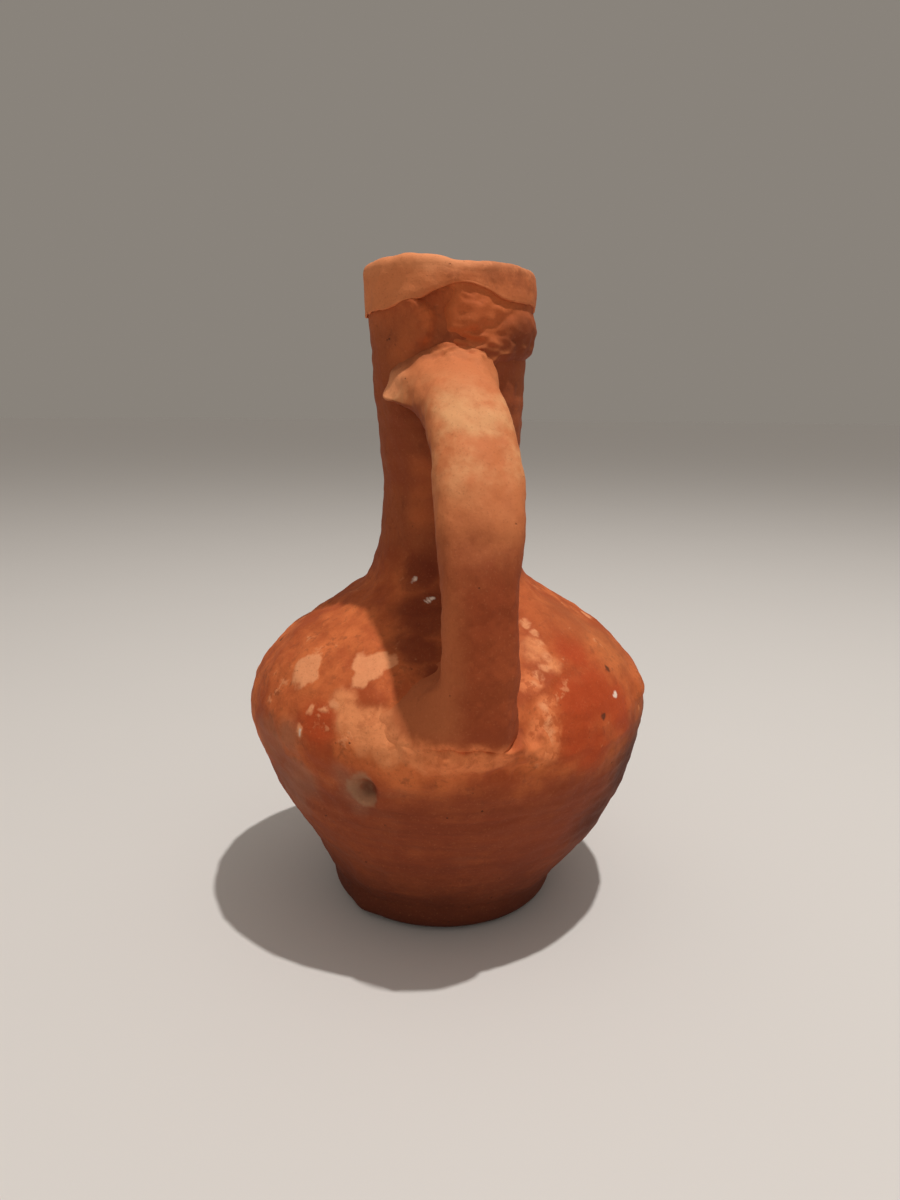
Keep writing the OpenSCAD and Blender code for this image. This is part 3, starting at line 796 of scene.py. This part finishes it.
class Recipe:
    # the nodes of one material or of the room
    def __init__(self, owner):
        owner.use_nodes = True
        self.owner, self.tree = owner, owner.node_tree
        self.tree.nodes.clear()

    def add(self, kind, settings, sockets, output=0):
        node = self.tree.nodes.new(kind)
        for key, value in settings.items():
            setattr(node, key, value)
        for key, value in sockets.items():
            if isinstance(value, Value):
                self.tree.links.new(value.socket, node.inputs[key])
            else:
                node.inputs[key].default_value = value
        return Value(self, node.outputs[output]) if len(node.outputs) else None

    def vector(self, operation, first, second):
        output = 1 if operation == "DISTANCE" else 0
        sockets = {0: first, "Scale": second} if operation == "SCALE" else {0: first, 1: second}
        return self.add("ShaderNodeVectorMath", {"operation": operation}, sockets, output)

    def colour(self, factor, first, second):
        sockets = {0: factor, 6: first if isinstance(first, Value) else (*first, 1),
                   7: second if isinstance(second, Value) else (*second, 1)}
        return self.add("ShaderNodeMix", {"data_type": "RGBA", "clamp_factor": True}, sockets, 2)

    def noise(self, at, size, detail=3.0, rough=0.55, output=0):
        return self.add("ShaderNodeTexNoise", {},
                        {"Vector": at, "Scale": 1.0 / size, "Detail": detail, "Roughness": rough}, output)

    def cells(self, at, size):
        return self.add("ShaderNodeTexVoronoi", {}, {"Vector": at, "Scale": 1.0 / size})

    def height(self, vector):
        return self.add("ShaderNodeSeparateXYZ", {}, {"Vector": vector}, 2)

    def place(self):
        # the point on the surface, in mm
        return self.vector("SCALE", self.add("ShaderNodeTexCoord", {}, {}, 3), 1 / mm)

    def finish(self, colour, rough, height, shine):
        bump = self.add("ShaderNodeBump", {}, {"Height": height, "Distance": mm, "Strength": 1.0})
        shader = self.add("ShaderNodeBsdfPrincipled", {}, {
            "Base Color": colour, "Roughness": rough, "Normal": bump, "Specular IOR Level": shine})
        self.add("ShaderNodeOutputMaterial", {}, {"Surface": shader})
        return self.owner


# fired clay, with painted light and shade among the tones, colours in linear light
clayTones = {
    "rust": (0.41, 0.076, 0.020), "orange": (0.66, 0.162, 0.045), "ember": (0.45, 0.055, 0.012),
    "slip": (0.82, 0.315, 0.135), "smear": (0.80, 0.27, 0.10), "lip": (0.80, 0.228, 0.076),
    "tanWearAndHighlight": (0.80, 0.40, 0.175), "saddle": (0.64, 0.195, 0.068),
    "brown": (0.21, 0.05, 0.0185), "lowShade": (0.21, 0.041, 0.015), "deepShade": (0.105, 0.023, 0.010),
    "strap": (0.30, 0.055, 0.0165), "olive": (0.44, 0.165, 0.055), "bloomAndSheen": (0.34, 0.15, 0.085),
    "slitShade": (0.15, 0.021, 0.007), "soot": (0.06, 0.025, 0.013), "ash": (0.36, 0.21, 0.115),
    "chalk": (0.85, 0.66, 0.52),
}
clayFinish = {
    # size in mm, detail and roughness of the noises that the layers share
    "broad": (22, 3.0, 0.6), "mid": (6.5, 4.0, 0.62), "fine": (1.7, 4.0, 0.65), "grain": (0.42, 2.0, 0.6),
    "streak": (1.0, 4.0, 0.62), "drawn": (0.05, 0.05, 0.7),     # streaks run round the jug
    "waver": (3.0, 3.2),                                        # of a layer's edge: size and reach
    "grit": 1.5, "rough": 0.62, "shine": 0.15,
}


class ClayRecipe(Recipe):
    # fired clay: the noises that its layers share, and the shade that each layer is laid over
    def __init__(self, name):
        super().__init__(bpy.data.materials.new(name))
        self.at = self.place()
        self.z = self.height(self.at)
        self.broad, self.mid, self.fine, self.grain = (
            self.noise(self.at, *clayFinish[k]) for k in ("broad", "mid", "fine", "grain"))
        drawn = self.vector("MULTIPLY", self.at, clayFinish["drawn"])
        self.streak = self.noise(drawn, *clayFinish["streak"])
        # small open pits where grit burnt out
        self.pits = self.cells(self.at, clayFinish["grit"]).ramp(0.16, 0.05) * self.mid.ramp(0.56, 0.68)
        size, reach = clayFinish["waver"]
        shift = self.vector("SUBTRACT", self.noise(self.at, size, output=1), (0.5, 0.5, 0.5))
        self.warped = self.vector("ADD", self.at, self.vector("SCALE", shift, reach))
        self.mottle()

    def lay(self, amount, tone):
        self.shade = self.colour(amount, self.shade, clayTones[tone])

    def mottle(self):
        # the fired ground, from rust to orange, darker up the neck, with painted shade down the belly
        cloud = (self.broad * 0.5 + self.mid * 0.5).ramp(0.38, 0.6)
        self.shade = self.colour(cloud, clayTones["rust"], clayTones["orange"])
        self.lay(self.fine.ramp(0.5, 0.7) * self.mid.ramp(0.36, 0.58) * 0.5, "brown")
        # painted shade, streaked, darker down the lower belly
        lower = (self.z + self.broad * 12 - 6).ramp(40, 29)
        self.lay(lower * (0.5 + self.streak * 0.6), "lowShade")
        neck = self.z.ramp(60, 74) * (0.4 + self.z.ramp(115, 106) * 0.6)
        self.lay(neck * (0.48 + self.mid * 0.4), "brown")

    def speckle(self):
        # dark and pale grains all over
        self.lay(self.grain.ramp(0.56, 0.74) * 0.22, "brown")
        self.lay(self.grain.ramp(0.42, 0.28) * 0.10, "slip")

    def spots(self, places, soft, off=0, at=None):
        # 1 inside any of the round places on the wall, 0 well outside
        found = None
        for bearing, z, radius in places:
            centre = tuple(float(v) for v in onWall(np.float64(bearing), np.float64(z), off))
            away = self.vector("DISTANCE", at or self.warped, centre)
            inside = away.ramp(radius + soft, max(radius - soft, 0))
            found = inside if found is None else found.most(inside)
        return found

    def fired(self, rough, height):
        return self.finish(self.shade, clayFinish["rough"] + rough, height, clayFinish["shine"])


# places on the wall: bearing, height and radius in mm
bodyPlaces = {
    "patches": [(-57, 51.5, 2.1), (-54, 52, 2.1), (-53, 50.2, 2.2), (-50.5, 50.6, 1.5),
                (-56, 49.8, 1.6), (-35, 53.4, 2.3), (-31, 54, 2.3), (-28, 54.3, 1.9),
                (-33.4, 51.4, 1.9), (-30.5, 52.6, 1.9), (-45, 46.1, 0.9), (-40.6, 46.4, 0.7),
                (-38.4, 47.6, 0.8), (-47.4, 42.3, 0.9), (27.4, 58.6, 0.8), (29, 57.6, 0.8),
                (118, 50, 2.4), (124, 47.5, 1.8), (-118, 55, 2.0), (176, 44, 2.6), (170, 46, 1.7),
                (-150, 49, 1.8), (84, 56, 1.4), (-95, 46, 1.5)],
    "smears": [(-36, 48.2, 2.2), (-33, 46.3, 2.7), (-29.5, 45.6, 2.9), (-26.5, 44.2, 3.1),
               (-22.5, 43.5, 3.2), (-18, 42.8, 2.2), (-24, 46.6, 2.2), (-13, 42, 2.0), (-21, 41.6, 2.0),
               (25, 55.8, 2.0), (27, 53.2, 1.7), (22, 54.8, 1.4), (146, 53, 2.4), (150.5, 52, 2.6),
               (155, 50.6, 2.0), (149, 49.4, 1.8), (-138, 45, 2.0), (-134, 44, 2.2), (-130, 43, 1.6)],
    "daubs": [(17, 51.5, 2.1), (20, 47.6, 2.1), (18.4, 45, 2.6), (18, 42, 2.6), (14.5, 43, 1.9)],
    "strokes": [(29, 59, 0.7), (28.4, 57.5, 0.8), (27.6, 56, 0.9), (27, 54.5, 0.9), (24, 53, 0.8),
                (21, 52.2, 0.8), (18.5, 51.2, 0.8), (19.4, 47.8, 0.9), (19, 46, 0.9), (18.6, 44.5, 1.0),
                (18, 43, 1.0), (17.4, 41.6, 0.9)],
    "island": [(-26.4, 49.6, 2.2), (-23, 48.6, 1.6)],
    "reddened": [(31, 47.5, 5.2), (28, 43.5, 4.8), (40, 48, 5.4), (47, 44.5, 5.0), (34, 40, 4.0),
                 (40, 54, 4.0), (-42, 44.5, 4.0), (-165, 52, 6.0), (100, 46, 4.0)],
    "olive": [(58, 57.5, 7.0), (64, 53, 6.0), (-150, 58, 6.0)],
    # painted shade where the strap shadows the neck and shoulder
    "slitShade": [(-21, 57, 3.6), (-16, 56, 3.8), (-12, 53.5, 2.6), (-24, 61.5, 4.0), (-14, 62, 4.6),
              (-18, 60, 5), (-26, 67, 4.0)],
    # painted shade on the lower belly, partly fire-clouding
    "shadeAndFireCloud": [(60, 31, 9), (50, 22, 7), (76, 26, 9), (70, 36, 5), (-170, 25, 8), (-110, 21, 7)],
    "soot": [(38.4, 44.3, 0.8), (50.1, 50.7, 0.7), (14, 41.2, 0.4), (-46.5, 43.6, 0.5), (-88, 52, 0.6),
             (160, 40, 0.7)],
    "chalk": [(47.7, 46.7, 0.65), (-31.8, 65.5, 0.55), (-16.2, 63.1, 0.5), (-18.4, 62.7, 0.45),
              (-20.3, 62.4, 0.35), (-47.2, 42.1, 0.4), (112, 58, 0.5)],
    # greyish bloom with painted sheen on the lower belly
    "greyedAndSheen": [(-33.6, 36.2, 2.4), (-33, 33, 2.2), (-31.5, 30.8, 1.7), (-52, 33, 4.5), (-62, 28, 5.0),
               (-62, 38, 5.0), (-52, 41, 3.0), (70, 38, 3.5), (-104, 35, 3.2), (-98, 33.6, 3.0),
               (-93, 35, 2.2), (126, 31, 3.2), (131, 29.2, 2.8), (137, 31, 2.2)],
    "chipped": [(-30.6, 34.2, 2.2), (-29, 32.6, 1.9), (-28.6, 36.4, 1.6)],
    "pit": [(-28, 34.4, 1.5)],
    # painted highlight along the ridge that the thumb pushed up
    "ridge": [(-30, 113.2, 0.9), (-25.8, 112, 0.9), (-22.8, 110.6, 1.0), (-22, 109.2, 1.0),
              (-23.4, 107.8, 0.9)],
    "streaks": [(-30, 77, 2.6), (-28, 81, 2.4), (-27, 85, 2.2)],
    # painted sheen on the neck above the left lobe
    "neckSheen": [(-46, 104.8, 1.6), (-37, 106.6, 1.8), (-29, 108, 1.8)],
    "rusty": [(36, 60, 6), (48, 58, 6), (150, 58, 7)],
}


def makeBodyClay():
    clay, places = ClayRecipe("bodyEarthenware"), bodyPlaces
    z, broad, mid, fine, streak = clay.z, clay.broad, clay.mid, clay.fine, clay.streak
    clay.lay(clay.spots(places["olive"], 4.5) * 0.3, "olive")
    clay.lay(clay.spots(places["reddened"], 2.6) * 0.8, "ember")
    # painted shade on the lower belly, partly fire-clouding
    clay.lay(clay.spots(places["shadeAndFireCloud"], 6) * 0.95, "deepShade")
    # painted shade, darkest at the foot where it meets the shadowed floor
    clay.lay((z + mid * 9 - 4.5).ramp(24, 0) * 0.95, "deepShade")
    clay.lay(clay.spots(places["rusty"], 4) * 0.5, "rust")
    # painted highlight on the thumb ridge, lighter streaks on the neck, and painted sheen on the neck above
    # the left lobe
    worked = clay.spots(places["ridge"], 0.8) * 0.6
    worked = worked.most(clay.spots(places["streaks"], 2) * 0.4)
    worked = worked.most(clay.spots(places["neckSheen"], 1.8) * 0.35)
    clay.lay(worked, "orange")
    # greyish bloom with painted sheen, in streaks and places on the lower belly
    drawn = streak.ramp(0.48, 0.8) * broad.ramp(0.42, 0.62) * z.ramp(44, 34) * z.ramp(9, 17)
    bloomAndSheen = clay.spots(places["greyedAndSheen"], 1.8).most(drawn * 0.8)
    clay.lay(bloomAndSheen * (0.15 + mid * 0.6), "bloomAndSheen")
    # painted shade where the strap shadows the neck and shoulder
    clay.lay(clay.spots(places["slitShade"], 2.2) * 0.75, "slitShade")
    smear = clay.spots(places["smears"], 1.1) * (1 - clay.spots(places["island"], 0.8) * 0.85)
    clay.lay(smear * (0.72 + fine.ramp(0.38, 0.54) * 0.28), "smear")
    clay.lay(clay.spots(places["daubs"], 0.8) * (0.25 + fine.ramp(0.4, 0.5) * 0.55), "lip")
    clay.lay(clay.spots(places["strokes"], 0.5) * (0.3 + fine.ramp(0.4, 0.5) * 0.5), "slip")
    chips = mid.ramp(0.62, 0.67) * fine.ramp(0.44, 0.58) * z.ramp(34, 44) * z.ramp(72, 58)
    pale = (clay.spots(places["patches"], 0.4) * (0.62 + fine * 0.5)).most(chips * 0.5)
    clay.lay(pale, "slip")
    clay.lay(clay.pits * 0.75, "soot")
    clay.lay(clay.spots(places["soot"], 0.3) * 0.8, "soot")
    clay.lay(clay.spots(places["chipped"], 0.7) * 0.55, "ash")
    clay.lay(clay.spots(places["pit"], 0.7, -1.3, clay.at) * 0.55, "soot")
    clay.lay(clay.spots(places["chalk"], 0.25), "chalk")
    clay.speckle()
    rough = mid * 0.14 + pale * 0.1 + fine * 0.06
    height = clay.grain * 0.04 + fine * 0.11 + mid * 0.12 + streak * 0.08 + pale * 0.07 - clay.pits * 0.25
    return clay.fired(rough, height)


rimPlaces = {
    # painted light on the collar's left
    "leftRetoned": [(-62, 115.5, 5), (-44, 116.5, 5), (-84, 115.5, 5)],
    "dark": [(22, 118, 2.4), (40, 118.4, 2.6), (56, 117.6, 2.2), (-8, 117.4, 1.4)],
}


def makeRimClay():
    clay, places = ClayRecipe("rimEarthenware"), rimPlaces
    z, mid, fine = clay.z, clay.mid, clay.fine
    clay.lay(0.4 + mid * 0.3, "saddle")
    # the top of the lip paler: wear, and painted light where it faces the lamp
    lipWearAndLight = (z + mid * 3 - 1.5).ramp(117.2, 119.8)
    clay.lay(lipWearAndLight * 0.55 + mid.ramp(0.5, 0.7) * 0.2, "slip")
    # painted highlight along the hem, and painted light on the collar's left
    hemHighlight = (z + fine * 1.2 - 0.6).ramp(114.4, 112.8)
    clay.lay((hemHighlight * 0.4).most(clay.spots(places["leftRetoned"], 4) * 0.5), "smear")
    clay.lay(clay.spots(places["dark"], 1.6) * fine.ramp(0.36, 0.56) * 0.35, "brown")
    clay.lay(clay.pits * 0.6, "soot")
    clay.speckle()
    rough = mid * 0.16 + fine * 0.08
    height = clay.grain * 0.04 + fine * 0.09 + mid * 0.10 + clay.streak * 0.06 - clay.pits * 0.25
    return clay.fired(rough, height)


handlePlaces = {
    "lip": [(-17, 43, 2.2), (-12, 42.2, 3.0), (-6, 42, 3.2), (0, 42.2, 3.0), (5, 42.2, 2.2),
            (13, 42.5, 1.1), (17.5, 43.4, 1.1)],
    "wad": [(0, 110, 6), (14, 111, 6), (26, 112.5, 4)],
    # painted shade on the lobe right of the upper root, under the collar
    "rightLobe": [(48, 108, 5), (60, 108, 4.6)],
    # darker along the upper root's top edge at its left
    "leftRetoned": [(-28, 106, 2.4), (-39, 104.4, 2.4), (-47, 102.8, 2.2), (-54, 101.2, 1.6)],
    # painted light on the left lobe of the upper root
    "leftLobe": [(-56, 98.5, 2.2), (-48, 99, 2.6), (-40, 99.5, 2.4)],
}


def makeHandleClay():
    clay, places = ClayRecipe("handleEarthenware"), handlePlaces
    z, mid, fine = clay.z, clay.mid, clay.fine
    # the strap's top: wear, with painted light where it faces up and a painted highlight along it
    facing = clay.height(clay.add("ShaderNodeNewGeometry", {}, {}, 1))
    crownWearAndLight = (z + mid * 12 - 6).ramp(68, 84) * (z + fine * 2.4 - 1.2).ramp(107.4, 105.2)
    crownWearAndLight = crownWearAndLight * (facing + mid * 0.4).ramp(-0.15, 0.3)
    clay.lay(crownWearAndLight * 0.9, "saddle")
    wearAndHighlight = (clay.broad * 0.5 + mid * 0.5).ramp(0.42, 0.6) * z.ramp(78, 90) * z.ramp(103, 96)
    clay.lay(crownWearAndLight * wearAndHighlight * 0.75, "tanWearAndHighlight")
    # painted shade down the strap's lower face
    clay.lay((z + mid * 10 - 5).ramp(80, 66) * z.ramp(42, 46) * (0.6 + mid * 0.5), "strap")
    across = clay.add("ShaderNodeSeparateXYZ", {}, {"Vector": clay.warped}, 1)
    # painted light along the strap's left side
    clay.lay(across.ramp(-1, -6) * z.ramp(78, 64) * z.ramp(43, 47) * 0.45, "saddle")
    clay.lay(clay.spots(places["wad"], 3) * (z + mid * 2 - 1).ramp(105, 107) * 0.5, "orange")
    # painted shade on the lobe right of the upper root, under the collar
    clay.lay(clay.spots(places["rightLobe"], 3) * 0.4, "deepShade")
    lip = clay.spots(places["lip"], 1.2, 2) * (0.5 + fine.ramp(0.36, 0.58) * 0.5)
    daubs = clay.spots(bodyPlaces["daubs"], 1.1) * (0.4 + fine.ramp(0.34, 0.56) * 0.35)
    clay.lay(lip.most(daubs) * 0.92, "lip")
    smear = clay.spots(bodyPlaces["smears"][:10], 1.1) * z.ramp(51, 46) * across.ramp(-5, -8)
    clay.lay(smear * (0.5 + fine.ramp(0.34, 0.56) * 0.3), "smear")
    # darker along the upper root's top edge at its left
    clay.lay(clay.spots(places["leftRetoned"], 2) * 0.65, "brown")
    # painted light on the left lobe of the upper root
    clay.lay(clay.spots(places["leftLobe"], 2, 1.5) * 0.85, "slip")
    clay.lay(clay.pits * 0.6, "soot")
    clay.speckle()
    rough = mid * 0.14 + fine * 0.08
    height = clay.grain * 0.03 + fine * 0.09 + mid * 0.14 - clay.pits * 0.2
    return clay.fired(rough, height)


bodyClay, rimClay, handleClay = makeBodyClay(), makeRimClay(), makeHandleClay()
for node, piece in wallPieces.items():
    settle(piece, node, bodyClay)
settle(collarPiece, "rim_collar", rimClay)
for piece, node in zip(handlePieces, ("handle_strap", "upper_wad", "lower_wad")):
    settle(piece, node, handleClay)
print("stage: clay finished")


# floor, lamp and room light
studio = {
    "floor": (0.70, 0.655, 0.61), "floorReach": 8.0, "floorSides": 96, "floorZ": -0.0001, "aimZ": 0.05,
    "zenith": (0.44, 0.42, 0.395), "horizon": (0.14, 0.132, 0.124), "backdrop": (0.251, 0.227, 0.199),
    # direction from the jug, distance and size in metres, level
    "lamps": {"overheadLamp": ((0.16, 0.18, 1.0), 0.8, 0.022, 0.70),
              "frontFill": ((1.0, -0.2, 0.45), 1.2, 0.8, 0.08)},
}


def makeStudio(size):
    recipe = Recipe(bpy.data.materials.new("paleFloor"))
    shade = recipe.noise(recipe.place(), 60, 2.0)
    pale = recipe.colour(shade * 0.12, size["floor"], tuple(0.9 * v for v in size["floor"]))
    recipe.finish(pale, 0.9 - shade * 0.1, shade * 0.05, 0.2)
    a = np.linspace(0, 2 * np.pi, size["floorSides"] + 1)[:-1]
    ring = size["floorReach"] * np.stack([np.cos(a), np.sin(a)], -1)
    mesh = bpy.data.meshes.new("floor")
    mesh.from_pydata([(*p, size["floorZ"]) for p in ring.tolist()], [], [list(range(len(ring)))])
    mesh.materials.append(recipe.owner)
    floor = placed("floor", mesh)
    for name, (way, away, across, level) in size["lamps"].items():
        lamp = bpy.data.lights.new(name, "AREA")
        lamp.shape, lamp.size = "DISK", across
        lamp.energy = level * math.pi ** 2 * away ** 2
        way = Vector(way).normalized()
        holder = placed(name, lamp)
        holder.location = Vector((0, 0, size["aimZ"])) + way * away
        holder.rotation_euler = way.to_track_quat("Z", "Y").to_euler()


def makeRoom(size):
    # brighter overhead than level, and even where the camera sees it
    recipe = Recipe(bpy.data.worlds.new("room"))
    up = recipe.height(recipe.add("ShaderNodeTexCoord", {}, {}, 0))
    glow = recipe.colour(up.ramp(-0.1, 1.0), size["horizon"], size["zenith"])
    light = recipe.add("ShaderNodeBackground", {}, {"Color": glow, "Strength": 1.0})
    seen = recipe.add("ShaderNodeBackground", {}, {"Color": (*size["backdrop"], 1), "Strength": 1.0})
    kinds = ("Is Camera Ray", "Is Glossy Ray", "Is Transmission Ray")
    camera, glossy, transmission = (recipe.add("ShaderNodeLightPath", {}, {}, kind) for kind in kinds)
    plain = camera.most(glossy).most(transmission)
    recipe.add("ShaderNodeOutputWorld", {},
               {"Surface": recipe.add("ShaderNodeMixShader", {}, {0: plain, 1: light, 2: seen})})
    bpy.context.scene.world = recipe.owner


makeStudio(studio)
makeRoom(studio)
bpy.context.scene.view_settings.view_transform = "Standard"
print("stage: studio lit")
